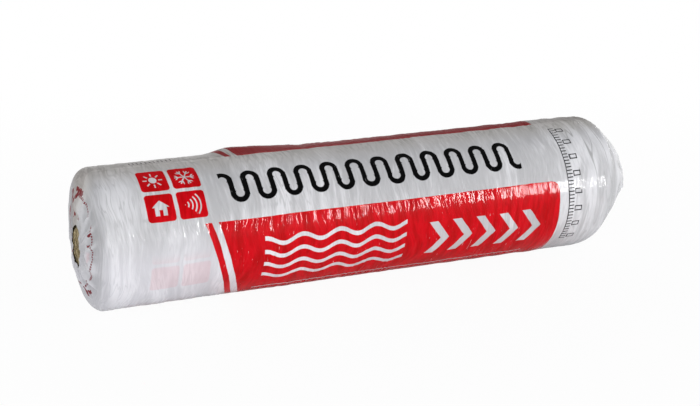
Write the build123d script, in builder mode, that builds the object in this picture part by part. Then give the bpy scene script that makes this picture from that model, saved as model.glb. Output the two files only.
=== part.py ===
"""A roll of stone-wool insulation in its packing film, lying on its side on the floor.

The roll's axis runs along X. The film is tucked flat over the -X end, where an eye-shaped
opening shows the wool, and is gathered to a leaning cone beyond the +X end.
The origin is on the floor, below the middle of the overall length. Lengths are in millimetres.
"""

import os
from math import atan2, cos, radians, sin, tan

from build123d import *

# The wound mat
mat_width = 1200.0
roll_diameter = 300.0
eye_diameter = 40.0
turn_pitch = 26.0
turn_line_width = 3.0
turn_line_depth = 6.0
first_turn_share = 0.75
outer_turn_land = 24.0
tucked_rim_draw = 22.0
gathered_rim_draw = 60.0

# The packing film
film_thickness = 0.5
film_clearance = 0.3
gather_draw_angle = 2.0
gather_apex_reach = 131.0
gather_apex_drop = 19.0
gather_top_overhang = 8.0
gather_bottom_setback = 32.0
gather_shoulder_round = 30.0
gather_tip_radius = 7.0

# The opening in the tucked end, seen from outside: across is +Y, up is +Z
opening_height = 94.0
opening_width = 55.0
opening_offset_across = 54.0
opening_offset_up = -26.0
opening_far_bulge_share = 0.56

# How far a cutting tool runs past the surface that it cuts
cut_overrun = 5.0

# Derived places
film_offset = film_clearance + film_thickness
wool_radius = roll_diameter / 2
wrap_radius = wool_radius + film_offset

# The gathered cone's top and bottom lines run from the shoulder to the apex
top_angle = atan2(wrap_radius + gather_apex_drop, gather_apex_reach - gather_top_overhang)
bottom_angle = atan2(wrap_radius - gather_apex_drop, gather_apex_reach + gather_bottom_setback)
cone_half_angle = (top_angle + bottom_angle) / 2
cone_lean = (top_angle - bottom_angle) / 2
tip_back = gather_tip_radius / tan(cone_half_angle)
tip_reach = gather_apex_reach - tip_back * cos(cone_lean) + gather_tip_radius * sin(cone_lean)

overall_length = film_offset + mat_width + tip_reach
tucked_face_x = -overall_length / 2
wool_start_x = tucked_face_x + film_offset
wool_end_x = wool_start_x + mat_width
tip_x = overall_length / 2
apex_x = wool_end_x + gather_apex_reach
draw_x = wool_end_x - gathered_rim_draw
axis_height = wrap_radius
eye_radius = eye_diameter / 2
first_turn_radius = eye_radius + turn_pitch * first_turn_share
outer_turn_room = wool_radius - turn_pitch / 4 - outer_turn_land - first_turn_radius
half_turns = 1 + int(outer_turn_room / (turn_pitch / 2))

# Profiles are drawn from the roll's axis down to the line that lies on the floor
roll_axis = Axis((0, 0, axis_height), (1, 0, 0))
profile_plane = Plane(origin=(0, 0, axis_height), x_dir=(1, 0, 0), z_dir=(0, 1, 0))


def end_plane(x):
    """A plane across the roll's axis at x, facing -X as the tucked end does."""
    return Plane(origin=(x, 0, axis_height), x_dir=(0, -1, 0), z_dir=(-1, 0, 0))


def wool_body(inset):
    """The turned body of the wool with its bore, drawn in by inset on every side but the bore."""
    with BuildPart() as body:
        with BuildSketch(profile_plane) as section:
            with Locations((wool_start_x + inset, eye_radius)):
                Rectangle(
                    mat_width - 2 * inset,
                    wool_radius - inset - eye_radius,
                    align=(Align.MIN, Align.MIN),
                )
            tucked_corner = section.vertices().group_by(Axis.Y)[-1].sort_by(Axis.X)[0]
            chamfer(tucked_corner, length=tucked_rim_draw - inset)
            gathered_corner = section.vertices().group_by(Axis.Y)[-1].sort_by(Axis.X)[-1]
            chamfer(gathered_corner, length=gathered_rim_draw - inset)
        revolve(axis=roll_axis)
    return body.part


# The turn lines: on each end a spiral of half circles about two centres half a pitch apart.
# Both ends are drawn on a plane that faces -X, because one mat's winding has one hand right through.
# Taking the drawn-in wool away leaves them one depth everywhere, over the drawn-in rims too.
with BuildPart() as turn_lines:
    for end_x, outward, reach in (
        (wool_start_x, -1, tucked_rim_draw),
        (wool_end_x, 1, gathered_rim_draw),
    ):
        with BuildSketch(end_plane(end_x - outward * reach)):
            with BuildLine():
                for step in range(half_turns):
                    side = -1 if step % 2 == 0 else 1
                    CenterArc(
                        center=(side * turn_pitch / 4, 0),
                        radius=first_turn_radius + step * turn_pitch / 2,
                        start_angle=0 if side == -1 else 180,
                        arc_size=180,
                    )
            trace(line_width=turn_line_width)
        extrude(amount=-outward * (reach + cut_overrun))
    add(wool_body(turn_line_depth), mode=Mode.SUBTRACT)

# The wool: one turned solid with its bore, and its turns showing on both ends
with BuildPart() as wool_roll:
    add(wool_body(0))
    add(turn_lines.part, mode=Mode.SUBTRACT)

wool_roll.part.label = "wool_roll"


def film_envelope(inset):
    """The closed shape of the film's skin, drawn in by inset on every side."""
    cone_plane = Plane(
        origin=(apex_x, 0, axis_height - gather_apex_drop),
        x_dir=(-cos(cone_lean), 0, sin(cone_lean)),
        z_dir=(0, 1, 0),
    )
    cone_length = overall_length + 2 * wrap_radius
    apex_inset = inset / sin(cone_half_angle)
    tip_inset = tip_back + inset
    with BuildPart() as envelope:
        # The barrel runs right through to the tip. Its tucked rim is rounded, and from where the
        # wool's rim is drawn in it narrows a little.
        with BuildSketch(profile_plane) as barrel_section:
            radius = wrap_radius - inset
            through_x = tip_x + cut_overrun
            with BuildLine():
                Polyline(
                    (tucked_face_x + inset, 0),
                    (tucked_face_x + inset, radius),
                    (draw_x, radius),
                    (through_x, radius - (through_x - draw_x) * tan(radians(gather_draw_angle))),
                    (through_x, 0),
                    close=True,
                )
            make_face()
            rim_corner = barrel_section.vertices().group_by(Axis.Y)[-1].sort_by(Axis.X)[0]
            fillet(rim_corner, radius=tucked_rim_draw + film_offset - inset)
        revolve(axis=roll_axis)

        # A leaning cone with a blunt tip cuts its far end to the gathered shape
        with BuildSketch(cone_plane):
            with BuildLine():
                Polyline(
                    (tip_inset, 0),
                    (tip_inset, (tip_inset - apex_inset) * tan(cone_half_angle)),
                    (cone_length, (cone_length - apex_inset) * tan(cone_half_angle)),
                    (cone_length, 0),
                    close=True,
                )
            make_face()
        revolve(axis=Axis(cone_plane.origin, cone_plane.x_dir), mode=Mode.INTERSECT)
        cone_face = envelope.faces().filter_by(GeomType.CONE).sort_by(Axis.X)[-1]
        shoulder = cone_face.edges().sort_by(SortBy.LENGTH)[-1]
        fillet(shoulder, radius=gather_shoulder_round - inset)
    return envelope.part


# The film: a thin skin round the wool, with the opening that its tucked end leaves
with BuildPart() as film_wrap:
    add(film_envelope(0))
    add(film_envelope(film_thickness), mode=Mode.SUBTRACT)

    with BuildSketch(end_plane(tucked_face_x + film_offset)) as opening:
        with BuildLine():
            top = (-opening_offset_across, opening_offset_up + opening_height / 2)
            bottom = (-opening_offset_across, opening_offset_up - opening_height / 2)
            far = (-opening_offset_across - opening_far_bulge_share * opening_width, opening_offset_up)
            near = (-opening_offset_across + (1 - opening_far_bulge_share) * opening_width, opening_offset_up)
            ThreePointArc(top, far, bottom)
            ThreePointArc(bottom, near, top)
        make_face()
    extrude(amount=film_offset + cut_overrun, mode=Mode.SUBTRACT)

film_wrap.part.label = "film_wrap"

os.makedirs("parts", exist_ok=True)
for piece in (wool_roll.part, film_wrap.part):
    export_step(piece, f"parts/{piece.label}.step")
    print(piece.label, "volume", round(piece.volume), "valid", piece.is_valid)
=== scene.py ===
"""A lying roll of stone wool in its wrinkled packing film, on a plain pale floor.

The roll's axis runs along X. The film is tucked over the -X end, round an opening that shows the
wool, and gathered to a leaning tip beyond the +X end. Angles round the roll are 0 at its front (-Y)
and a right angle at its top. Lengths are in metres.
"""

from math import cos, pi, radians, sin, sqrt, tan
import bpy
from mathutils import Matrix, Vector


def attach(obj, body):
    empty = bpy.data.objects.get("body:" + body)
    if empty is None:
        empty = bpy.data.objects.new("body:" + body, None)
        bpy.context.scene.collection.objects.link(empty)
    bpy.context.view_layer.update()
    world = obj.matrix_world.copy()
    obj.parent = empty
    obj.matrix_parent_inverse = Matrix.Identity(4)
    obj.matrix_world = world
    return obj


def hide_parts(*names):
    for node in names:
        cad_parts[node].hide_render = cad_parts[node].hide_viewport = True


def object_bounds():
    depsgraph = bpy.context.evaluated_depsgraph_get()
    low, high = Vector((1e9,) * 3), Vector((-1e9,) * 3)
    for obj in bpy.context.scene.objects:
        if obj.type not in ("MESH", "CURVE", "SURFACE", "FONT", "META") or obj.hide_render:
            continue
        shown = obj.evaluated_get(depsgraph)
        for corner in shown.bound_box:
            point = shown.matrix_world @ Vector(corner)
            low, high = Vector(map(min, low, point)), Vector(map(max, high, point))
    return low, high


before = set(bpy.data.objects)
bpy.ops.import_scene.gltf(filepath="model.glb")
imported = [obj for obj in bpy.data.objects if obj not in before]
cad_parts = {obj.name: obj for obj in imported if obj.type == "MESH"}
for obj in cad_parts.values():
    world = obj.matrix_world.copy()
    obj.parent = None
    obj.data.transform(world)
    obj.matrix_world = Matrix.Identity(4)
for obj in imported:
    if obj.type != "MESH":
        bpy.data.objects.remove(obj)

from types import SimpleNamespace

import bpy
import numpy as np
from mathutils import Matrix, Vector

cad_low, cad_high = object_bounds()

# The roll, from the solids' box and sizes
WRAP_R = cad_high[2] / 2.0
AXIS_Z = WRAP_R
FACE_X = cad_low[0]
RIM_ROUND = 0.0228
RIM_X = FACE_X + RIM_ROUND
FILM_OFFSET = 0.0008
MAT_WIDTH = 1.2
WOOL_START_X = FACE_X + FILM_OFFSET
WOOL_END_X = WOOL_START_X + MAT_WIDTH
GATHERED_RIM = 0.060
DRAW_X = WOOL_END_X - GATHERED_RIM
DRAW_ANGLE = radians(2.0)
TOP_SHOULDER_X = 0.5525
BOTTOM_SHOULDER_X = 0.5150
SHOULDER_ROUND = 0.022
TIP_DROP = 0.019
TIP_X = 0.6555
TIP_Z = AXIS_Z - TIP_DROP
TIP_R = 0.010

# The winding
WOOL_R = WRAP_R - 0.0023
EYE_R = 0.020
TURN_PITCH = 0.026
FIRST_TURN_R = EYE_R + 0.75 * TURN_PITCH

# The opening in the tucked end: its middle, and points of its ragged edge (y, z from the roll's axis)
OPENING_Y, OPENING_Z = 0.054, -0.026
OPENING_EDGE = (
    (0.046, 0.021),
    (0.028, 0.012),
    (0.027, -0.018),
    (0.031, -0.051),
    (0.037, -0.073),
    (0.060, -0.065),
    (0.083, -0.056),
    (0.078, -0.037),
    (0.083, -0.015),
    (0.074, 0.002),
    (0.060, 0.015),
)
EDGE_BLUR = (-0.10, -0.05, 0.0, 0.05, 0.10)

# Noise and small helpers
NOISE_ROWS = 1024
NOISE_START = 300.0


def ease(low, high, value):
    """0 below low, 1 above high, and a smooth rise between them."""
    share = np.clip((value - low) / (high - low), 0.0, 1.0)
    return share * share * (3.0 - 2.0 * share)


def smoothest(share):
    """A rise from 0 to 1 that is level and without bend at both ends."""
    return share**3 * (share * (share * 6.0 - 15.0) + 10.0)


def noise(along, turn, cell, cells_round, seed):
    """Smooth noise from 0 to 1 over a length along the roll and a turn round it, closed after one turn."""
    table = np.random.default_rng(seed).random((NOISE_ROWS, cells_round))
    down = along / cell + NOISE_START
    over = (turn % 1.0) * cells_round
    down_cell = np.floor(down).astype(int)
    over_cell = np.floor(over).astype(int)
    down_part = smoothest(down - down_cell)
    over_part = smoothest(over - over_cell)
    below = down_cell % NOISE_ROWS
    above = (down_cell + 1) % NOISE_ROWS
    left = over_cell % cells_round
    right = (over_cell + 1) % cells_round
    near = table[below, left] * (1.0 - over_part) + table[below, right] * over_part
    far = table[above, left] * (1.0 - over_part) + table[above, right] * over_part
    return near * (1.0 - down_part) + far * down_part


def signed(value):
    """Turns noise from 0 to 1 into noise from -1 to 1."""
    return 2.0 * value - 1.0


def ridge(value):
    """Turns noise into crests: 1 along the lines where it is one half."""
    return 1.0 - np.abs(signed(value))


# The film's grid: rows run from the opening's edge out over the tucked rim, along the barrel and down
# the gathered cone to its tip. Columns run round the roll from its lowest line.
COLUMNS = 240
FACE_ROWS = 40
RIM_ROWS = 16
BARREL_ROWS = 560
SHOULDER_ROWS = 14
CONE_ROWS = 26
BARREL_ROW = FACE_ROWS + RIM_ROWS
SHOULDER_ROW = BARREL_ROW + BARREL_ROWS

EDGE_RAGGED = 0.0013
CONE_SWELL = 0.012
CONE_HOLLOW = 0.006
CONE_OUT_X, CONE_OUT_R = 0.72, 0.69
PUCKER_RINGS = ((0.0050, 0.0012), (0.0028, 0.0004), (0.0012, -0.0020))
PUCKER_STEP = 0.002

turn = np.arange(COLUMNS) / COLUMNS
theta = 2.0 * pi * turn - pi / 2.0
round_y = -np.cos(theta)
round_z = np.sin(theta)
upper_share = 0.5 + 0.5 * round_z


def ring(x, radius, height=AXIS_Z):
    """Points round a line along X at a height. x and radius may differ from column to column."""
    return np.stack([np.zeros(COLUMNS) + x, radius * round_y, height + radius * round_z], axis=1)


def opening_radius(angle):
    """How far the opening's edge lies from its middle at an angle, with y to the right and z up."""
    edge = np.array(OPENING_EDGE) - np.array([OPENING_Y, OPENING_Z])
    angles = np.arctan2(edge[:, 1], edge[:, 0])
    radii = np.hypot(edge[:, 0], edge[:, 1])
    order = np.argsort(angles)
    angles = angles[order]
    angles = np.concatenate([angles - 2.0 * pi, angles, angles + 2.0 * pi])
    radii = np.tile(radii[order], 3)
    wrapped = (angle + pi) % (2.0 * pi) - pi
    smooth = np.zeros_like(wrapped)
    for step in EDGE_BLUR:
        smooth += np.interp(wrapped + step, angles, radii) / len(EDGE_BLUR)
    return smooth


def tucked_rows():
    """Rows of points with their lengths along the film: the tucked face, then its rounded rim."""
    ragged = EDGE_RAGGED * signed(noise(np.zeros(COLUMNS), turn, 1.0, 24, 11))
    reach = opening_radius(np.arctan2(round_z, round_y)) + ragged
    edge_y = OPENING_Y + reach * round_y
    edge_z = AXIS_Z + OPENING_Z + reach * round_z
    flat_r = WRAP_R - RIM_ROUND
    rim_y = flat_r * round_y
    rim_z = AXIS_Z + flat_r * round_z
    rim_length = RIM_X - RIM_ROUND * pi / 2.0
    across = np.hypot(edge_y - rim_y, edge_z - rim_z)
    for share in np.linspace(1.0, 0.0, FACE_ROWS, endpoint=False):
        y = rim_y + share * (edge_y - rim_y)
        z = rim_z + share * (edge_z - rim_z)
        yield np.stack([np.full(COLUMNS, FACE_X), y, z], axis=1), rim_length - share * across
    for bend in np.linspace(0.0, pi / 2.0, RIM_ROWS, endpoint=False):
        points = ring(RIM_X - RIM_ROUND * cos(bend), flat_r + RIM_ROUND * sin(bend))
        yield points, RIM_X - RIM_ROUND * (pi / 2.0 - bend)


def barrel_radius(x):
    return WRAP_R - np.maximum(x - DRAW_X, 0.0) * tan(DRAW_ANGLE)


def barrel_rows(shoulder_x):
    """Rows along the barrel, as far as the shoulder's rounding."""
    end_x = shoulder_x - SHOULDER_ROUND
    for share in np.linspace(0.0, 1.0, BARREL_ROWS, endpoint=False):
        x = RIM_X + share * (end_x - RIM_X)
        yield ring(x, barrel_radius(x)), x


def gathered_rows(shoulder_x):
    """Rows over the rounded shoulder, down the cone and into the puckered tip, drawn in on itself."""
    shoulder = ring(shoulder_x, barrel_radius(shoulder_x))
    back = ring(-cos(DRAW_ANGLE), sin(DRAW_ANGLE), height=0.0)
    down = ring(TIP_X, TIP_R, TIP_Z) - shoulder
    cone_length = np.linalg.norm(down, axis=1)
    down = down / cone_length[:, None]
    cone_out = ring(CONE_OUT_X, CONE_OUT_R, height=0.0)
    for place in np.linspace(-1.0, 1.0, SHOULDER_ROWS, endpoint=False):
        ahead = SHOULDER_ROUND * place
        kept = (SHOULDER_ROUND - ahead) ** 2 / (4.0 * SHOULDER_ROUND)
        gained = (SHOULDER_ROUND + ahead) ** 2 / (4.0 * SHOULDER_ROUND)
        yield shoulder + kept * back + gained * down, shoulder_x + ahead
    for share in np.linspace(0.0, 1.0, CONE_ROWS):
        ahead = SHOULDER_ROUND + share * (cone_length - SHOULDER_ROUND)
        swell = CONE_SWELL * upper_share * sin(pi * share**0.75) ** 1.4
        swell = swell - CONE_HOLLOW * (1.0 - upper_share) * sin(pi * share) ** 2
        yield shoulder + ahead[:, None] * down + swell[:, None] * cone_out, shoulder_x + ahead
    length = shoulder_x + cone_length
    for radius, beyond in PUCKER_RINGS:
        length = length + PUCKER_STEP
        yield ring(TIP_X + beyond, radius, TIP_Z), length


def base_rows():
    """The film's smooth surface: positions (row, column, 3), and the length along the film at each."""
    shoulder_x = BOTTOM_SHOULDER_X + (TOP_SHOULDER_X - BOTTOM_SHOULDER_X) * upper_share
    rows = []
    lengths = []
    for part in (tucked_rows(), barrel_rows(shoulder_x), gathered_rows(shoulder_x)):
        for points, length in part:
            rows.append(points)
            lengths.append(np.zeros(COLUMNS) + length)
    return np.array(rows), np.array(lengths)


# How far the film's wrinkles sway and how high they stand, and how far the film as a whole lies below
SMALL_SWAY, BROAD_SWAY = 0.008, 0.014
BROAD_HEIGHT = 0.0009
LUMP_HEIGHT = 0.0007
RIB_HEIGHT, FINE_HEIGHT, RIB_DROP = 0.0012, 0.0004, 0.0007
HOOP_HEIGHT, HOOP_DROP = 0.0026, 0.0008
TUCK_HEIGHT, SMALL_TUCK_HEIGHT, TUCK_DROP = 0.0075, 0.0026, 0.0012
GATHER_HEIGHT, SMALL_GATHER_HEIGHT, GATHER_DROP = 0.0040, 0.0030, 0.0022
LEAST_LIFT = -0.0012
EDGE_CURL = 0.0022
FACE_DOME = 0.0048

# The loose fold along the top, near the tucked end
TENT_HEIGHT = 0.0105
TENT_ANGLE = radians(103.0)
TENT_WIDTH = radians(10.0)


def barrel_lift(length):
    """Swaying ribs in patches, on broad waves and lumps, with hoops close to the gathered end."""
    bent = length + SMALL_SWAY * signed(noise(length, turn, 0.045, 11, 21))
    bent = bent + BROAD_SWAY * signed(noise(length, turn, 0.26, 5, 22))
    patches = 0.35 + 0.65 * ease(0.25, 0.75, noise(length, turn, 0.075, 9, 23))
    broad = signed(noise(bent, turn, 0.034, 8, 24))
    ribs = ridge(noise(bent, turn, 0.0110, 9, 25))
    fine = ridge(noise(bent, turn, 0.0070, 13, 26))
    lumps = signed(noise(length, turn, 0.15, 5, 27))
    hoops = ridge(noise(bent, turn, 0.0240, 4, 28))
    lift = BROAD_HEIGHT * broad + patches * (RIB_HEIGHT * ribs**1.5 + FINE_HEIGHT * fine**1.5 - RIB_DROP)
    lift = lift + LUMP_HEIGHT * lumps
    near_gather = ease(0.40, 0.47, length)
    higher = 0.35 + 0.65 * ease(-0.5, 0.6, round_z)
    hoop_lift = higher * (HOOP_HEIGHT * hoops**2.5 - HOOP_DROP)
    return lift * (1.0 - 0.45 * near_gather) + near_gather * hoop_lift


def film_lift(length, row_share):
    """How far the film stands off its smooth surface. row_share is 1 at the opening's edge, 0 on the
    barrel and -1 at the gathered tip. Pleats run inwards on the tucked face and towards the tip."""
    face = np.clip(row_share, 0.0, 1.0)
    cone = np.clip(-row_share, 0.0, 1.0)
    swirl = turn + 0.05 * face + 0.02 * cone
    pleats = ridge(noise(length, swirl, 0.09, 19, 31))
    small_pleats = ridge(noise(length, swirl, 0.05, 37, 32))
    tuck = TUCK_HEIGHT * pleats**2 + SMALL_TUCK_HEIGHT * small_pleats**2 - TUCK_DROP
    gather = GATHER_HEIGHT * pleats**1.5 + SMALL_GATHER_HEIGHT * small_pleats**1.5 - GATHER_DROP

    on_face = ease(0.0, 0.55, face)
    on_cone = ease(0.34, 0.66, cone)
    flatter_behind = 1.0 - 0.60 * ease(0.1, 0.8, round_y)
    lift = barrel_lift(length) * (1.0 - on_face) * (1.0 - on_cone)
    lift = lift + tuck * flatter_behind * on_face * (1.0 - 0.80 * ease(0.60, 1.0, face))
    lift = lift + gather * on_cone * (1.0 - 0.80 * ease(0.84, 1.0, cone))

    # The film's free edge curls out a little round the opening
    curl = EDGE_CURL * noise(length * 0.0, turn, 1.0, 23, 41)
    return np.maximum(lift + curl * ease(0.90, 1.0, row_share), LEAST_LIFT)


def tent(length):
    """How far the loose fold stands up."""
    rise = ease(-0.400, -0.325, length) * np.clip((-0.155 - length) / 0.170, 0.0, 1.0)
    return TENT_HEIGHT * rise * np.exp(-(((theta - TENT_ANGLE) / TENT_WIDTH) ** 2))


def film_grid():
    """The film by row and column: its smooth surface and normals, the length along it, the lift of its
    wrinkles, and how far it is raised in all."""
    base, length = base_rows()
    row_share = np.zeros((len(base), 1))
    row_share[:FACE_ROWS, 0] = np.linspace(1.0, 0.0, FACE_ROWS, endpoint=False)
    row_share[SHOULDER_ROW:, 0] = -np.linspace(0.0, 1.0, len(base) - SHOULDER_ROW)

    along_rows = np.gradient(base, axis=0)
    along_columns = np.roll(base, -1, axis=1) - np.roll(base, 1, axis=1)
    normal = np.cross(along_rows, along_columns)
    normal /= np.linalg.norm(normal, axis=2, keepdims=True) + 1e-12

    lift = film_lift(length, row_share)
    raised = lift + tent(length) + FACE_DOME * ease(0.0, 0.6, row_share)
    return base, normal, length, lift, raised


# Meshes

def make_mesh(name, vertices, faces, corner_places=None):
    """A smooth-shaded mesh object in the scene, with a map for its corners where they are given."""
    mesh = bpy.data.meshes.new(name)
    mesh.from_pydata(vertices.tolist(), [], faces)
    mesh.polygons.foreach_set("use_smooth", np.ones(len(mesh.polygons), dtype=bool))
    if corner_places is not None:
        layer = mesh.uv_layers.new(name="OFBake")
        layer.data.foreach_set("uv", np.array(corner_places, dtype=np.float32).ravel())
    mesh.update()
    piece = bpy.data.objects.new(name, mesh)
    bpy.context.scene.collection.objects.link(piece)
    return piece


class Skin:
    """Rings of vertices joined to a mesh. A ring may have as many columns as the one before it, or
    twice or half as many."""

    def __init__(self):
        self.rings = []
        self.points = []
        self.faces = []
        self.corners = []
        self.total = 0

    def ring(self, points, down=0.0, low=0.0, high=1.0):
        """Adds a ring. down is its place along the map, low and high the map's band for going round."""
        self.rings.append((self.total, len(points), down, low, high))
        self.points.append(points)
        self.total += len(points)
        return len(self.rings) - 1

    def corner(self, ring, column):
        start, count, down, low, high = self.rings[ring]
        return start + column % count, (down, low + (high - low) * column / count)

    def face(self, outward, *corners):
        chosen = corners if outward else corners[::-1]
        found = [self.corner(*corner) for corner in chosen]
        self.faces.append([vertex for vertex, place in found])
        self.corners.extend(place for vertex, place in found)

    def join(self, a, b, outward=True):
        """Faces between rings a and b, which look outward where b lies further along the film."""
        count_a = self.rings[a][1]
        count_b = self.rings[b][1]
        if count_a == count_b:
            for j in range(count_a):
                self.face(outward, (a, j), (b, j), (b, j + 1), (a, j + 1))
        elif count_b == 2 * count_a:
            for j in range(count_a):
                k = 2 * j
                self.face(outward, (a, j), (b, k), (b, k + 1))
                self.face(outward, (a, j), (b, k + 1), (a, j + 1))
                self.face(outward, (a, j + 1), (b, k + 1), (b, k + 2))
        else:
            for j in range(count_b):
                k = 2 * j
                self.face(outward, (b, j), (a, k + 1), (a, k))
                self.face(outward, (b, j), (b, j + 1), (a, k + 1))
                self.face(outward, (b, j + 1), (a, k + 2), (a, k + 1))

    def close(self, ring, point, outward=True):
        """Closes a ring to one point beyond it."""
        count, down, low, high = self.rings[ring][1:]
        peak = self.ring(np.array([point]), down + 0.0005, low, high)
        for j in range(count):
            self.face(outward, (ring, j), (peak, 0), (ring, j + 1))


# The film's two skins: gaps to the floor, bands of the map, and how the inner one is thinned out
OUTER_FLOOR_GAP = 0.0003
INNER_FLOOR_GAP = 0.0008
FILM_SKIN = 0.0005
MAP_START, MAP_LENGTH = 0.005, 0.985
OUTER_BAND = (0.005, 0.930)
INNER_BAND = (0.945, 0.995)
INNER_END_STEP = 6
INNER_BARREL_STEP = 12
INNER_COLUMN_STEP = 4
OUTER_PEAK_DEPTH = 0.001
INNER_PEAK_DEPTH = 0.0008


def make_film():
    """A closed double skin: the outer one wrinkled, the inner one coarse and everywhere below it."""
    base, normal, length, lift, raised = film_grid()
    placed = base + normal * raised[:, :, None]
    placed[:, :, 2] = np.maximum(placed[:, :, 2], OUTER_FLOOR_GAP)
    count = len(base)
    skin = Skin()
    places = []
    lifts = []

    def lay(row, step, points, band):
        """Adds a ring, and keeps its place on the film and its lift for the material."""
        places.append(np.stack([length[row, ::step], np.cos(theta[::step]), np.sin(theta[::step])], axis=1))
        lifts.append(lift[row, ::step])
        return skin.ring(points[::step], MAP_START + MAP_LENGTH * row / count, *band)

    def close(last, point, outward):
        places.append(np.array([[length[-1, 0], 1.0, 0.0]]))
        lifts.append(np.array([0.0]))
        skin.close(last, point, outward)

    # The outer skin: every column on the ends, every second one along the barrel
    first = lay(0, 1, placed[0], OUTER_BAND)
    before = first
    for row in range(1, count):
        step = 2 if BARREL_ROW <= row < SHOULDER_ROW else 1
        after = lay(row, step, placed[row], OUTER_BAND)
        skin.join(before, after)
        before = after
    peak = placed[-1].mean(axis=0) - np.array([OUTER_PEAK_DEPTH, 0.0, 0.0])
    close(before, peak, outward=True)

    # The inner skin starts at the opening's edge and lies below the lowest wrinkle near each point
    inner_rows = {*range(0, BARREL_ROW, INNER_END_STEP), *range(SHOULDER_ROW, count, INNER_END_STEP)}
    inner_rows |= {*range(BARREL_ROW, SHOULDER_ROW, INNER_BARREL_STEP), count - 1}
    before = first
    for number, row in enumerate(sorted(inner_rows)):
        near = raised[max(row - INNER_BARREL_STEP, 0):row + INNER_BARREL_STEP + 1].min(axis=0)
        shifts = range(-INNER_COLUMN_STEP, INNER_COLUMN_STEP + 1)
        under = np.min([np.roll(near, shift) for shift in shifts], axis=0) if number > 0 else raised[0]
        points = base[row] + normal[row] * (under - FILM_SKIN)[:, None]
        points[:, 2] = np.maximum(points[:, 2], INNER_FLOOR_GAP)
        after = lay(row, min(2**number, INNER_COLUMN_STEP), points, INNER_BAND)
        skin.join(before, after, outward=False)
        before = after
    close(before, peak - np.array([INNER_PEAK_DEPTH, 0.0, 0.0]), outward=False)

    film = make_mesh("film", np.concatenate(skin.points), skin.faces, skin.corners)
    place_layer = film.data.attributes.new("film_place", "FLOAT_VECTOR", "POINT")
    place_layer.data.foreach_set("vector", np.concatenate(places).astype(np.float32).ravel())
    lift_layer = film.data.attributes.new("film_lift", "FLOAT", "POINT")
    lift_layer.data.foreach_set("value", np.concatenate(lifts).astype(np.float32))
    return film


# The wool's ends: swollen into the opening and sunk beside it, with turn lines and fibrous relief
WOOL_SWELL = 0.0055
WOOL_SINK = 0.0034
GROOVE_DEPTH = 0.0060
CROWN_HEIGHT = 0.0018
FIBRE_DEPTH = 0.0016
TUFT_DEPTH = 0.0018
BORE_DEPTH = 0.05

# The wool's outline under the film: its two end faces, its drawn-in rims and its barrel
TUCKED_FACE_R = WRAP_R - RIM_ROUND - 0.001
TUCKED_FACE_RINGS = 64
TUCKED_RIM_SINK, TUCKED_RIM_REACH = 0.002, 0.022
WOOL_BARREL_X = -0.55
GATHERED_FACE_R = WRAP_R - 0.062
GATHERED_FACE_RINGS = 34
GATHERED_RIM_REACH = 0.058


def beyond_opening(radius):
    """0 in the middle of the film's opening, 1 from just outside its edge."""
    from_y = radius * round_y - OPENING_Y
    from_z = radius * round_z - OPENING_Z
    edge = opening_radius(np.arctan2(from_z, from_y))
    return ease(0.80, 1.05, np.hypot(from_y, from_z) / edge)


def wool_relief(radius, seed):
    """Depth below the end face: turn lines, soft layers between them, and fibres along the turns."""
    level = np.zeros(COLUMNS) + radius
    wound = (radius - FIRST_TURN_R) / TURN_PITCH - (theta % (2.0 * pi)) / (2.0 * pi)
    beside = np.abs(wound - np.round(wound)) * TURN_PITCH
    uneven = 0.0022 * (noise(level, turn, 0.02, 30, seed) - 0.5)
    groove = GROOVE_DEPTH * (1.0 - ease(0.0008, 0.0034, beside + uneven))
    crown = CROWN_HEIGHT * ease(0.0, 0.5 * TURN_PITCH, beside)
    fibres = FIBRE_DEPTH * noise(level, turn, 0.0032, 60, seed + 1)
    tufts = TUFT_DEPTH * noise(level, turn, 0.009, 48, seed + 2)
    return groove - crown + fibres + tufts


def make_wool():
    """The wound mat: one body with its bore, and its turns showing on both ends."""
    rings = [ring(WOOL_START_X + BORE_DEPTH, EYE_R)]
    for radius in np.linspace(EYE_R, TUCKED_FACE_R, TUCKED_FACE_RINGS):
        outside = beyond_opening(radius)
        sunk = WOOL_SINK * outside - WOOL_SWELL * (1.0 - outside)
        rings.append(ring(WOOL_START_X + wool_relief(radius, 51) + sunk, radius))
    for share in np.linspace(0.15, 1.0, 6):
        x = WOOL_START_X + TUCKED_RIM_SINK + share * TUCKED_RIM_REACH
        rings.append(ring(x, TUCKED_FACE_R + share * (WOOL_R - TUCKED_FACE_R)))
    for x in np.linspace(WOOL_BARREL_X, DRAW_X, 8):
        rings.append(ring(x, WOOL_R))
    for share in np.linspace(0.1, 0.95, 8):
        x = DRAW_X + share * GATHERED_RIM_REACH
        rings.append(ring(x, WOOL_R + share * (GATHERED_FACE_R - WOOL_R)))
    for radius in np.linspace(GATHERED_FACE_R, EYE_R, GATHERED_FACE_RINGS):
        rings.append(ring(WOOL_END_X - wool_relief(radius, 61), radius))
    rings.append(ring(WOOL_END_X - BORE_DEPTH, EYE_R))

    skin = Skin()
    numbers = [skin.ring(points) for points in rings]
    for before, after in zip(numbers, numbers[1:] + numbers[:1]):
        skin.join(before, after)
    return make_mesh("wool", np.concatenate(skin.points), skin.faces)


# Loose fibres: each is a bent bar of three sides
FIBRES = 700
FIBRE_REACH = 0.86
FIBRE_STATIONS = (0.0, 0.33, 0.67, 1.0)
FIBRE_SIZE = (0.006, 0.016)
FIBRE_THICK = (0.00008, 0.00018)
FIBRE_HEIGHT = (0.0003, 0.0022)
FIBRE_STRAY = 0.35
FIBRE_X = WOOL_START_X - WOOL_SWELL + 0.0002
FIBRE_SINK = 0.0012


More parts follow.
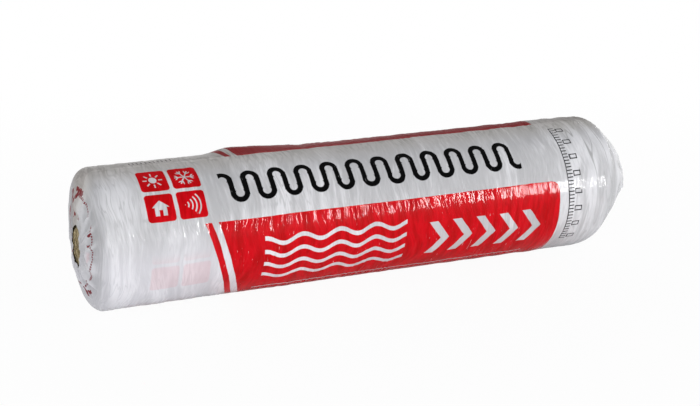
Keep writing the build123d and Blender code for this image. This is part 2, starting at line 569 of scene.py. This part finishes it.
def make_fibres():
    """Loose fibres that lie on the wool where the opening shows it."""
    draw = np.random.default_rng(71)
    points = []
    faces = []
    for _ in range(FIBRES):
        angle = draw.uniform(0.0, 2.0 * pi)
        edge = float(opening_radius(np.array([angle]))[0])
        reach = sqrt(draw.uniform(0.0, 1.0)) * edge * FIBRE_REACH
        middle = np.array([OPENING_Y + reach * cos(angle), OPENING_Z + reach * sin(angle)])
        out = middle / np.hypot(*middle)
        heading = np.array([-out[1], out[0]]) * draw.choice((-1.0, 1.0))
        heading = heading + draw.normal(0.0, FIBRE_STRAY, 2)
        heading /= np.linalg.norm(heading)
        side = np.array([-heading[1], heading[0]])
        size = draw.uniform(*FIBRE_SIZE)
        thick = draw.uniform(*FIBRE_THICK)
        height = draw.uniform(*FIBRE_HEIGHT)
        curl = draw.normal(0.0, FIBRE_STRAY)
        start = len(points)
        for share in FIBRE_STATIONS:
            at = middle + heading * size * (share - 0.5) + side * size * curl * share * (1.0 - share)
            lifted = height * sin(pi * (0.15 + 0.7 * share)) - FIBRE_SINK
            for corner in range(3):
                corner_angle = 2.0 * pi * corner / 3.0
                y, z = at + side * thick * cos(corner_angle)
                points.append((FIBRE_X - lifted - thick * sin(corner_angle), y, AXIS_Z + z))
        for span in range(3):
            for corner in range(3):
                a = start + 3 * span + corner
                b = start + 3 * span + (corner + 1) % 3
                faces.append([a + 3, b + 3, b, a])
        faces.append([start, start + 1, start + 2])
        faces.append([start + 11, start + 10, start + 9])
    return make_mesh("wool_fibres", np.array(points), faces)


# Materials

def new_material(name):
    material = bpy.data.materials.new(name)
    material.use_nodes = True
    return material


class Nodes:
    """Shader nodes by short calls. A value may be a number or another node's output."""

    def __init__(self, tree):
        self.tree = tree

    def put(self, socket, value):
        if isinstance(value, bpy.types.NodeSocket):
            self.tree.links.new(value, socket)
        else:
            socket.default_value = value

    def add(self, kind, *values):
        """A new node, with values for its first sockets."""
        node = self.tree.nodes.new(kind)
        for socket, value in zip(node.inputs, values):
            self.put(socket, value)
        return node

    def surface(self, name, value):
        """Gives a value to a socket of the main shader."""
        self.put(self.tree.nodes["Principled BSDF"].inputs[name], value)

    def math(self, operation, *values):
        node = self.add("ShaderNodeMath", *values)
        node.operation = operation
        return node.outputs[0]

    def plus(self, a, b):
        return self.math("ADD", a, b)

    def less(self, a, b):
        return self.math("SUBTRACT", a, b)

    def times(self, a, b):
        return self.math("MULTIPLY", a, b)

    def low(self, a, b):
        return self.math("MINIMUM", a, b)

    def high(self, a, b):
        return self.math("MAXIMUM", a, b)

    def size(self, a):
        return self.math("ABSOLUTE", a)

    def length(self, a, b):
        return self.math("SQRT", self.plus(self.times(a, a), self.times(b, b)))

    def rest(self, share, part=1.0):
        """What a part of a share leaves of 1."""
        return self.less(1.0, self.times(share, part))

    def vary(self, value, amount):
        """Noise about one half, as an offset about 0."""
        return self.times(self.less(value, 0.5), amount)

    def ramp(self, value, low, high):
        """0 to 1 smoothly as value goes from low to high, which may be the smaller."""
        node = self.add("ShaderNodeMapRange", value, low, high)
        node.interpolation_type = "SMOOTHSTEP"
        return node.outputs["Result"]

    def rise(self, value, low, high, start, end):
        """From start to end in a straight line as value goes from low to high."""
        return self.add("ShaderNodeMapRange", value, low, high, start, end).outputs["Result"]

    def vector(self, x, y, z):
        return self.add("ShaderNodeCombineXYZ", x, y, z).outputs[0]

    def noise(self, where, scale, detail=2.0, rough=0.5):
        node = self.add("ShaderNodeTexNoise")
        self.put(node.inputs["Vector"], where)
        self.put(node.inputs["Scale"], scale)
        self.put(node.inputs["Detail"], detail)
        self.put(node.inputs["Roughness"], rough)
        return node.outputs["Fac"]

    def bump(self, height, distance, strength):
        node = self.add("ShaderNodeBump")
        self.put(node.inputs["Height"], height)
        self.put(node.inputs["Distance"], distance)
        self.put(node.inputs["Strength"], strength)
        return node.outputs[0]

    def blend(self, share, a, b):
        """Colour a where share is 0 and b where it is 1."""
        node = self.add("ShaderNodeMix", share)
        node.data_type = "RGBA"
        colours = [socket for socket in node.inputs if socket.type == "RGBA"]
        for socket, value in zip(colours, (a, b)):
            self.put(socket, value if isinstance(value, bpy.types.NodeSocket) else (*value, 1.0))
        return [socket for socket in node.outputs if socket.type == "RGBA"][0]

    def mix_to(self, output_kind, share, a, b):
        """Ends a tree in shader a where share is 0 and b where it is 1."""
        mix = self.add("ShaderNodeMixShader", share, a.outputs[0], b.outputs[0])
        self.put(self.add(output_kind).inputs["Surface"], mix.outputs[0])

    # Flat shapes are distances: below 0 inside the shape

    def inside(self, distance, soft=0.0006):
        """1 inside a shape, with a soft edge."""
        return self.ramp(distance, soft, -soft)

    def union(self, first, *others):
        for other in others:
            first = self.low(first, other)
        return first

    def overlap(self, first, *others):
        for other in others:
            first = self.high(first, other)
        return first

    def without(self, shape, hole):
        return self.high(shape, self.times(hole, -1.0))

    def stripe(self, value, middle, half):
        return self.less(self.size(self.less(value, middle)), half)

    def stripes(self, value, gap, half):
        """Stripes at every gap, the first half a gap from 0."""
        return self.stripe(self.math("FLOORED_MODULO", value, gap), gap / 2.0, half)

    def box(self, x, y, middle_x, middle_y, half_x, half_y, corner=0.0):
        """A box with rounded corners."""
        over_x = self.stripe(x, middle_x, half_x - corner)
        over_y = self.stripe(y, middle_y, half_y - corner)
        outer = self.length(self.high(over_x, 0.0), self.high(over_y, 0.0))
        return self.less(self.plus(outer, self.low(self.high(over_x, over_y), 0.0)), corner)

    def disc(self, x, y, middle_x, middle_y, radius):
        return self.less(self.length(self.less(x, middle_x), self.less(y, middle_y)), radius)

    def spokes(self, x, y, middle_x, middle_y, arms):
        """Coordinates along and across the nearest of several arms about a middle."""
        from_x = self.less(x, middle_x)
        from_y = self.less(y, middle_y)
        angle = self.math("ARCTAN2", from_y, from_x)
        step = 2.0 * pi / arms
        folded = self.less(self.math("FLOORED_MODULO", self.plus(angle, step / 2.0), step), step / 2.0)
        reach = self.length(from_x, from_y)
        return self.times(reach, self.math("COSINE", folded)), self.times(reach, self.math("SINE", folded))


class FilmNodes(Nodes):
    """Shader nodes that know the place on the film: along it, round the roll, and its lift."""

    def __init__(self, tree):
        super().__init__(tree)
        parts = self.add("ShaderNodeSeparateXYZ", self.attribute("film_place").outputs["Vector"])
        self.along, self.turn_cos, self.turn_sin = parts.outputs
        self.angle = self.math("ARCTAN2", self.turn_sin, self.turn_cos)
        self.lift = self.attribute("film_lift").outputs["Fac"]

    def attribute(self, name):
        node = self.add("ShaderNodeAttribute")
        node.attribute_name = name
        return node

    def streaked(self, place, per_metre, per_radius, detail=1.0):
        """Noise drawn out round the roll: its cells to a metre along it, and to a radius round it."""
        round_place = [self.times(part, per_radius) for part in (self.turn_cos, self.turn_sin)]
        return self.noise(self.vector(self.times(place, per_metre), *round_place), 1.0, detail)

    def lines(self, value, half_width):
        """Crests along the lines where noise is one half."""
        return self.ramp(self.size(self.less(value, 0.5)), half_width, 0.0)


def film_wrinkles(n):
    """The noise that print, colour and relief share. Ribs and creases run round the roll, swaying a
    little, and hoops lie close to the gathered end."""
    blotches = n.streaked(n.along, 9.0, 1.5, 3.0)
    patches = n.ramp(n.streaked(n.along, 16.0, 3.0), 0.38, 0.58)
    swayed = n.plus(n.along, n.vary(n.streaked(n.along, 6.0, 1.3), 0.050))
    streaks = n.streaked(swayed, 70.0, 2.2, 2.0)
    ribs = n.streaked(swayed, 135.0, 2.6)
    creases = n.lines(n.streaked(swayed, 95.0, 3.2), 0.100)
    creases = n.times(creases, n.plus(0.25, n.times(patches, 0.75)))
    grain = n.streaked(swayed, 190.0, 4.0)
    near_gather = n.ramp(n.along, 0.38, 0.47)
    hoops = n.times(n.lines(n.streaked(n.along, 48.0, 0.9), 0.034), near_gather)
    fine = n.times(n.lines(n.streaked(swayed, 125.0, 2.2), 0.060), n.rest(patches, 0.6))
    fine = n.high(n.times(fine, n.rest(near_gather, 0.6)), hoops)

    # Towards the opening and towards the gathered tip the wrinkles turn to pleats that run inwards
    tucked = n.ramp(n.along, -0.672, -0.705)
    ends = n.high(n.ramp(n.along, 0.548, 0.590), tucked)
    pleats = n.streaked(n.along, 9.0, 7.0, 2.0)
    along_barrel = n.rest(ends, 0.85)
    return SimpleNamespace(
        blotches=blotches,
        grain=grain,
        tucked=tucked,
        streaks=n.plus(streaks, n.times(ends, n.less(pleats, streaks))),
        ribs=n.times(ribs, along_barrel),
        creases=n.times(creases, along_barrel),
        fine=n.times(fine, along_barrel),
        hoops=n.times(hoops, along_barrel),
    )


# The print, in metres along the film and across it from the roll's front
PRINT_START = radians(-96.5)
PRINT_PERIOD = pi
PANEL_MIDDLE, PANEL_HALF_TALL = -0.150, 0.1982
PANEL_SLANT = 0.30
TILE_COLUMNS = (-0.536, -0.468)
TILE_ROWS = (0.092, 0.160)
TILE_HALF, TILE_CORNER = 0.030, 0.007
GHOST_DROP = 0.154
ARROW_MIDDLE = -0.052
WAVE_LENGTH, WAVE_HEIGHT = 0.085, 0.0075
BAND_MIDDLE = 0.122
WINDING_GAP, WINDING_HALF_TALL, WINDING_HALF_LINE = 0.030, 0.0165, 0.0058
TICK_ANGLE = radians(91.0)

# The hem on the tucked end: its mean radius, its place along the film, and ragged scraps of ink
# (degrees round the roll, place along the film, half sizes round and along)
HEM_R = 0.085
HEM_PLACE = -0.725
HEM_END = -0.678
HEM_SCRAPS = (
    (84, -0.706, 0.0085, 0.0085),
    (94, -0.712, 0.0050, 0.0130),
    (101, -0.700, 0.0085, 0.0050),
    (92, -0.765, 0.0070, 0.0055),
    (106, -0.742, 0.0045, 0.0070),
    (113, -0.722, 0.0060, 0.0055),
    (124, -0.700, 0.0060, 0.0110),
    (146, -0.712, 0.0110, 0.0060),
    (69, -0.776, 0.0036, 0.0055),
    (24, -0.741, 0.0020, 0.0070),
    (10, -0.757, 0.0030, 0.0075),
    (-66, -0.700, 0.0090, 0.0055),
    (-80, -0.703, 0.0055, 0.0150),
    (-150, -0.705, 0.0040, 0.0070),
)


def panel_shape(n, along, across):
    """The red panel, with a slanting end and a slim bar beside it."""
    slant = n.plus(along, n.times(across, PANEL_SLANT))
    tall = n.stripe(across, PANEL_MIDDLE, PANEL_HALF_TALL)
    right_part = n.box(along, across, 0.094, PANEL_MIDDLE, 0.300, PANEL_HALF_TALL, 0.020)
    left_part = n.overlap(n.less(-0.405, slant), tall, n.less(along, 0.0))
    bar = n.overlap(n.stripe(slant, -0.426, 0.007), tall)
    return n.union(right_part, left_part, bar)


def tile_shapes(n, along, across):
    """Four small tiles."""
    tiles = []
    for middle_x in TILE_COLUMNS:
        for middle_y in TILE_ROWS:
            tiles.append(n.box(along, across, middle_x, middle_y, TILE_HALF, TILE_HALF, TILE_CORNER))
    return n.union(*tiles)


def tile_signs(n, along, across):
    """White signs on the tiles: sun, snowflake, house and sound."""
    left, right = TILE_COLUMNS
    lower, upper = TILE_ROWS
    out, off = n.spokes(along, across, left, upper, 8)
    rays = n.overlap(n.stripe(out, 0.0165, 0.0042), n.stripe(off, 0.0, 0.0014))
    sun = n.union(n.disc(along, across, left, upper, 0.0085), rays)

    out, off = n.spokes(along, across, right, upper, 6)
    arms = n.overlap(n.stripe(out, 0.0105, 0.0105), n.stripe(off, 0.0, 0.0013))
    barbs = n.overlap(n.stripe(n.less(out, n.size(off)), 0.0125, 0.0018), n.stripe(off, 0.0, 0.0062))
    snowflake = n.union(arms, barbs)

    beside = n.size(n.less(along, left))
    above = n.less(across, lower)
    roof = n.less(n.plus(n.times(beside, 0.64), n.times(above, 0.77)), 0.0125)
    roof = n.overlap(roof, n.less(0.001, above))
    walls = n.overlap(n.less(beside, 0.0125), n.stripe(above, -0.007, 0.0100))
    door = n.overlap(n.less(beside, 0.0038), n.plus(above, 0.0045))
    house = n.union(roof, n.without(walls, door))

    ahead = n.less(along, right - 0.016)
    above = n.less(across, lower)
    reach = n.length(ahead, above)
    wedge = n.less(n.size(above), n.times(ahead, 0.8))
    sound = n.overlap(n.stripes(n.plus(reach, 0.004), 0.0085, 0.0014), wedge, n.less(reach, 0.036))
    return n.union(sun, snowflake, house, sound)


def panel_signs(n, along, across):
    """White flow lines, arrow heads and a thin rule on the panel."""
    wave = n.times(n.math("SINE", n.times(along, 2.0 * pi / WAVE_LENGTH)), WAVE_HEIGHT)
    rows = n.stripes(n.plus(n.less(across, wave), 0.110), 0.030, 0.0048)
    flow = n.overlap(rows, n.stripe(across, -0.050, 0.060), n.stripe(along, -0.155, 0.165))
    point = n.plus(along, n.times(n.size(n.less(across, ARROW_MIDDLE)), 0.75))
    heads = n.stripes(n.less(point, 0.020), 0.058, 0.0105)
    heads = n.overlap(heads, n.stripe(across, ARROW_MIDDLE, 0.042), n.stripe(point, 0.223, 0.145))
    rule = n.overlap(n.stripe(across, -0.142, 0.0016), n.stripe(along, 0.0, 0.330))
    return n.union(flow, heads, rule)


def winding_line(n, along, across):
    """A black line that winds along the white band, as a draughtsman draws a quilt."""
    above = n.less(across, BAND_MIDDLE)
    line = n.overlap(n.stripes(along, WINDING_GAP, 0.0), n.stripe(above, 0.0, WINDING_HALF_TALL))
    for side, shift in ((1.0, 0.0), (-1.0, WINDING_GAP)):
        over = n.less(n.math("FLOORED_MODULO", n.plus(along, shift), 2.0 * WINDING_GAP), WINDING_GAP)
        beyond = n.less(n.times(above, side), WINDING_HALF_TALL)
        arch = n.size(n.less(n.length(over, beyond), WINDING_GAP / 2.0))
        line = n.union(line, n.without(arch, beyond))
    return n.overlap(n.less(line, WINDING_HALF_LINE), n.stripe(along, -0.045, 0.352))


def fine_scale(n, along, across):
    """A black scale of ticks and small frames near the gathered end."""
    reach = n.stripe(across, 0.040, 0.150)
    spine = n.overlap(n.stripe(along, 0.418, 0.0011), reach)
    ticks = n.overlap(n.stripes(across, 0.0080, 0.0012), n.stripe(along, 0.425, 0.0065))
    frames = n.overlap(n.stripes(across, 0.0400, 0.0062), n.stripe(along, 0.443, 0.0095))
    frames = n.without(frames, n.plus(frames, 0.0024))
    return n.union(spine, n.overlap(n.union(ticks, frames), reach))


def hem_shape(n, hem_turn):
    """A dotted line round the tucked end, broken here and there, with a few ragged scraps of ink."""
    waves = n.math("COSINE", n.times(n.plus(n.angle, 0.09), 2.0))
    off_line = n.less(n.along, n.less(HEM_PLACE, n.times(waves, 0.012)))
    off_line = n.plus(off_line, n.vary(n.streaked(n.along, 14.0, 3.0), 0.024))
    hem = n.overlap(n.stripe(off_line, 0.0, 0.0036), n.stripes(hem_turn, 0.0050, 0.0017))
    hem = n.overlap(hem, n.times(n.less(0.42, n.streaked(0.0, 1.0, 3.5)), 0.05))
    ragged = n.vary(n.streaked(n.along, 120.0, 14.0, 2.0), 0.012)
    for degrees_round, middle, half_turn, half_along in HEM_SCRAPS:
        scrap = n.box(hem_turn, n.along, radians(degrees_round) * HEM_R, middle, half_turn, half_along)
        hem = n.union(hem, n.plus(scrap, ragged))
    return n.overlap(hem, n.less(n.along, HEM_END))


def film_print(n, wrinkles):
    """Where ink shows: the shares of red, of black, and of a pale ghost of the layer below. The print
    follows the film, so its edges waver with the wrinkles, and it wears off on the creases."""
    along = n.plus(n.along, n.vary(wrinkles.streaks, 0.0035))
    lapped = n.plus(n.math("FLOORED_MODULO", n.less(n.angle, PRINT_START), PRINT_PERIOD), PRINT_START)
    across = n.plus(n.times(lapped, WRAP_R), n.vary(wrinkles.blotches, 0.004))
    free_across = n.times(n.angle, WRAP_R)
    hem_turn = n.times(n.angle, HEM_R)

    ticks = n.overlap(n.stripes(along, 0.0090, 0.0012), n.stripe(along, -0.520, 0.050))
    ticks = n.overlap(ticks, n.stripe(free_across, TICK_ANGLE * WRAP_R, 0.0070))
    lower_rule = n.overlap(n.stripe(free_across, -0.187, 0.0045), n.stripe(along, -0.515, 0.075))
    red = n.union(panel_shape(n, along, across), tile_shapes(n, along, across))
    red = n.union(red, lower_rule, hem_shape(n, hem_turn))
    white = n.union(tile_signs(n, along, across), panel_signs(n, along, across))
    black = n.union(winding_line(n, along, across), fine_scale(n, along, across), ticks)

    specks = n.ramp(n.streaked(n.along, 300.0, 9.0, 2.0), 0.66, 0.72)
    worn = n.times(n.math("POWER", wrinkles.creases, 4.0), specks)
    ghost = n.inside(tile_shapes(n, along, n.plus(across, GHOST_DROP)), 0.002)
    ghost = n.times(n.times(ghost, n.ramp(across, 0.0, -0.045)), 0.14)
    blush = n.times(n.inside(n.box(hem_turn, n.along, -0.018, -0.757, 0.016, 0.004), 0.008), 0.22)
    return SimpleNamespace(
        red=n.times(n.inside(n.without(red, white)), n.rest(worn, 0.55)),
        black=n.times(n.inside(black), n.rest(worn, 0.35)),
        pale=n.high(ghost, blush),
    )


# Colours of the film, plain and on two layers, of the painted shade on it, and of the ink
ONE_LAYER = ((0.49, 0.49, 0.50), (0.74, 0.74, 0.76))
TWO_LAYERS = ((0.66, 0.655, 0.69), (0.83, 0.825, 0.86))
HOOP_SHADE = (0.25, 0.25, 0.245)
FOLD_SHADE = (0.42, 0.42, 0.44)
# Painted shade towards the top: a warmer grey, a mottle of it, and darker creases
TOP_SHADE_TINT = (0.72, 0.67, 0.605)
TOP_MOTTLED_SHADE = (0.39, 0.385, 0.345)
TOP_CREASE_SHADE = (0.22, 0.21, 0.19)
# Painted shade over the top, on the film and on the red ink
TOP_SHADE_COLOUR = (0.13, 0.09, 0.09)
GHOST_INK = (0.75, 0.06, 0.09)
RED_INK = ((0.49, 0.001, 0.003), (0.64, 0.002, 0.008))
# Red darkened by painted shade along the fine creases
CREASE_SHADED_INK = (0.34, 0.001, 0.004)
TUCKED_INK = (0.21, 0.002, 0.012)
TOP_SHADED_INK = (0.26, 0.004, 0.007)
BLACK_INK = (0.002, 0.002, 0.0022)
TOP_ANGLE = radians(98.0)


def plain_film(n, wrinkles):
    """The film's colour: brighter where it stands off the wool and greyer where it lies on it, a painted
    shade in the valleys of its wrinkles and pleats. Painted shade also lies along its creases, hoops and
    folds, and, warmer and mottled, towards the top."""
    # Painted shade: greyer in the wrinkles' valleys, and on the tucked face in the pleats' valleys
    standing = n.ramp(n.lift, -0.0010, 0.0016)
    pleated = n.ramp(n.lift, -0.0012, 0.0045)
    standing = n.plus(standing, n.times(wrinkles.tucked, n.less(pleated, standing)))
    # The mottle is random grain, and painted shade that follows the streaks' relief
    mottle = n.plus(n.times(wrinkles.streaks, 0.25), n.times(wrinkles.grain, 0.40))
    tone = n.ramp(n.plus(n.times(standing, 0.50), mottle), 0.25, 0.85)
    # Painted shade along the fine creases
    tone = n.times(tone, n.rest(wrinkles.fine, 0.70))
    single = n.high(n.ramp(n.turn_sin, -0.30, 0.38), n.ramp(n.along, -0.35, 0.45))
    colour = n.blend(single, n.blend(tone, *TWO_LAYERS), n.blend(tone, *ONE_LAYER))
    shaded = n.times(wrinkles.hoops, n.times(n.ramp(n.turn_sin, -0.2, 0.7), 0.45))
    colour = n.blend(shaded, colour, HOOP_SHADE)
    folded = n.times(wrinkles.tucked, n.times(n.rest(pleated), 0.35))
    colour = n.blend(folded, colour, FOLD_SHADE)
    # Painted shade towards the top: a warmer grey tint, mottled, with darker creases
    upward = n.ramp(n.size(n.less(n.angle, TOP_ANGLE)), 0.75, 0.15)
    colour = n.blend(n.times(upward, 0.60), colour, TOP_SHADE_TINT)
    shade_mottle = n.ramp(n.plus(wrinkles.streaks, n.times(wrinkles.blotches, 0.8)), 0.80, 1.20)
    colour = n.blend(n.times(n.times(shade_mottle, upward), 0.45), colour, TOP_MOTTLED_SHADE)
    return n.blend(n.times(n.times(wrinkles.creases, upward), 0.40), colour, TOP_CREASE_SHADE)


def printed_film():
    material = new_material("printed_film")
    n = FilmNodes(material.node_tree)
    wrinkles = film_wrinkles(n)
    ink = film_print(n, wrinkles)

    # Painted shade darkens the top's colour, and the film is rougher there; both thin out towards the back
    dull_shaded_top = n.ramp(n.angle, radians(168.0), radians(110.0))
    dull_shaded_top = n.times(n.ramp(n.angle, radians(80.0), radians(87.0)), dull_shaded_top)
    # The red is darker in the streaks' valleys and along the fine creases, both painted shade, and darker
    # on the tucked end
    red_ink = n.blend(n.ramp(wrinkles.streaks, 0.34, 0.62), *RED_INK)
    red_ink = n.blend(n.times(wrinkles.fine, 0.3), red_ink, CREASE_SHADED_INK)
    red_ink = n.blend(n.ramp(n.along, -0.674, -0.682), red_ink, TUCKED_INK)
    red_ink = n.blend(n.times(dull_shaded_top, 0.75), red_ink, TOP_SHADED_INK)
    colour = n.blend(ink.pale, plain_film(n, wrinkles), GHOST_INK)
    colour = n.blend(ink.red, colour, red_ink)
    colour = n.blend(ink.black, colour, BLACK_INK)
    n.surface("Base Color", n.blend(n.times(dull_shaded_top, 0.20), colour, TOP_SHADE_COLOUR))

    rough = n.plus(0.05, n.times(wrinkles.blotches, 0.07))
    n.surface("Roughness", n.plus(rough, n.times(dull_shaded_top, 0.62)))
    n.surface("IOR", 1.40)
    n.surface("Specular IOR Level", 0.26)

    height = n.plus(n.times(wrinkles.creases, 0.38), n.times(wrinkles.fine, 0.15))
    height = n.plus(height, n.plus(n.times(wrinkles.ribs, 0.5), n.times(wrinkles.streaks, 0.7)))
    calm_ends = n.plus(0.3, n.times(n.ramp(n.along, -0.700, -0.655), 0.7))
    n.surface("Normal", n.bump(n.times(height, calm_ends), distance=0.0008, strength=1.0))
    return material


WOOL_SHADES = ((0.29, 0.22, 0.100), (0.60, 0.48, 0.25))
WOOL_SPECK = (0.05, 0.045, 0.03)


def stone_wool(name, pale):
    """Matt tufts of olive brown, with fibres of a paler colour and a few dark specks."""
    material = new_material(name)
    n = Nodes(material.node_tree)
    place = n.add("ShaderNodeTexCoord").outputs["Object"]
    tufts = n.noise(place, 140.0, 5.0, 0.65)
    fibres = n.noise(place, 900.0, 3.0, 0.6)
    specks = n.noise(place, 420.0)
    colour = n.blend(n.ramp(tufts, 0.30, 0.72), *WOOL_SHADES)
    colour = n.blend(n.times(n.ramp(fibres, 0.45, 0.75), 0.5), colour, pale)
    colour = n.blend(n.times(n.ramp(specks, 0.66, 0.74), 0.5), colour, WOOL_SPECK)
    n.surface("Base Color", colour)
    n.surface("Roughness", n.plus(0.82, n.times(specks, 0.15)))
    n.surface("Sheen Weight", 0.25)
    n.surface("Normal", n.bump(n.plus(tufts, n.times(fibres, 0.5)), distance=0.0015, strength=0.8))
    return material


# The pieces

wool = make_wool()
wool.data.materials.append(stone_wool("stone_wool", (0.62, 0.52, 0.31)))
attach(wool, "root")
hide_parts("wool_roll")

fibres = make_fibres()
fibres.data.materials.append(stone_wool("stone_wool_fibre", (0.70, 0.60, 0.38)))
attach(fibres, "root")

film = make_film()
film.data.materials.append(printed_film())
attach(film, "root")
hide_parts("film_wrap")

# The camera stands before the roll, to the tucked end's side, a little above it
CAMERA_AZIMUTH = radians(-24.358)
CAMERA_ELEVATION = radians(15.754)
CAMERA_DISTANCE = 3.6295
LENS_MM = 83.82
SENSOR_MM = 36.0
LOOKED_AT = Vector((-0.058, 0.0, AXIS_Z))
AIM_ABOVE = 0.0098


def make_camera():
    level = cos(CAMERA_ELEVATION)
    back = Vector((sin(CAMERA_AZIMUTH) * level, -cos(CAMERA_AZIMUTH) * level, sin(CAMERA_ELEVATION)))
    right = Vector((cos(CAMERA_AZIMUTH), sin(CAMERA_AZIMUTH), 0.0))
    place = LOOKED_AT + back * CAMERA_DISTANCE
    toward = (LOOKED_AT + back.cross(right) * AIM_ABOVE - place).normalized()
    data = bpy.data.cameras.new("camera")
    data.sensor_fit = "HORIZONTAL"
    data.sensor_width = SENSOR_MM
    data.lens = LENS_MM
    camera = bpy.data.objects.new("camera", data)
    axes = Matrix((right, right.cross(toward), -toward)).transposed().to_4x4()
    camera.matrix_world = Matrix.Translation(place) @ axes
    bpy.context.scene.collection.objects.link(camera)
    bpy.context.scene.camera = camera


make_camera()

# The floor, pale and plain, which keeps the roll's shadow and runs out into white
FLOOR_HALF = 30.0
FLOOR_COLOUR = (0.86, 0.86, 0.86, 1.0)
FLOOR_NEAR, FLOOR_FAR = 0.3, 2.2
NEAR_WHITE = 0.955
WHITE = (1.0, 1.0, 1.0, 1.0)


def make_floor():
    corners = [(-1.0, -1.0, 0.0), (1.0, -1.0, 0.0), (1.0, 1.0, 0.0), (-1.0, 1.0, 0.0)]
    floor = make_mesh("floor", np.array(corners) * FLOOR_HALF, [[0, 1, 2, 3]])
    material = new_material("floor")
    n = Nodes(material.node_tree)
    n.tree.nodes.clear()
    lit = n.add("ShaderNodeBsdfDiffuse", FLOOR_COLOUR)
    plain = n.add("ShaderNodeEmission", WHITE, 1.0)
    reach = n.add("ShaderNodeVectorMath", n.add("ShaderNodeNewGeometry").outputs["Position"])
    reach.operation = "LENGTH"
    seen = n.rise(reach.outputs["Value"], FLOOR_NEAR, FLOOR_FAR, NEAR_WHITE, 1.0)
    mirrored = n.rise(reach.outputs["Value"], FLOOR_NEAR, FLOOR_FAR, 0.0, 1.0)
    rays = n.add("ShaderNodeLightPath").outputs
    mirrored = n.times(n.high(rays["Is Glossy Ray"], rays["Is Transmission Ray"]), mirrored)
    share = n.plus(n.times(rays["Is Camera Ray"], seen), mirrored)
    n.mix_to("ShaderNodeOutputMaterial", share, lit, plain)
    floor.data.materials.append(material)


make_floor()

# Soft studio light: a lamp before the roll at either side, one behind it, and a pale room
LAMP_AIM = Vector((0.0, 0.0, 0.15))
ROOM_COLOUR = (0.95, 0.96, 1.0, 1.0)
ROOM_LOW, ROOM_HIGH = 0.46, 0.38
SKY_LOW, SKY_HIGH = 1.0, 0.15


def area_light(name, place, width, height, power):
    data = bpy.data.lights.new(name, "AREA")
    data.shape = "RECTANGLE"
    data.size = width
    data.size_y = height
    data.energy = power
    lamp = bpy.data.objects.new(name, data)
    lamp.location = place
    lamp.rotation_euler = (LAMP_AIM - Vector(place)).to_track_quat("-Z", "Y").to_euler()
    bpy.context.scene.collection.objects.link(lamp)


def make_room():
    """A room that lights softly from all sides, and is seen and mirrored as white near the horizon."""
    world = bpy.data.worlds.new("room")
    world.use_nodes = True
    bpy.context.scene.world = world
    n = Nodes(world.node_tree)
    n.tree.nodes.clear()
    parts = n.add("ShaderNodeSeparateXYZ", n.add("ShaderNodeTexCoord").outputs["Generated"])
    height = parts.outputs["Z"]
    room = n.add("ShaderNodeBackground", ROOM_COLOUR, n.rise(height, 0.0, 0.9, ROOM_LOW, ROOM_HIGH))
    sky = n.add("ShaderNodeBackground", WHITE, n.rise(height, 0.05, 0.60, SKY_LOW, SKY_HIGH))
    rays = n.add("ShaderNodeLightPath").outputs
    seen = n.high(n.high(rays["Is Camera Ray"], rays["Is Glossy Ray"]), rays["Is Transmission Ray"])
    n.mix_to("ShaderNodeOutputWorld", seen, room, sky)


area_light("left_light", (-5.00, -4.20, 1.10), 2.0, 1.6, 125.0)
area_light("right_light", (4.43, -6.57, 1.26), 1.0, 2.2, 350.0)
area_light("back_light", (1.00, 6.50, 1.20), 3.0, 1.6, 150.0)
make_room()

bpy.context.scene.view_settings.view_transform = "Standard"
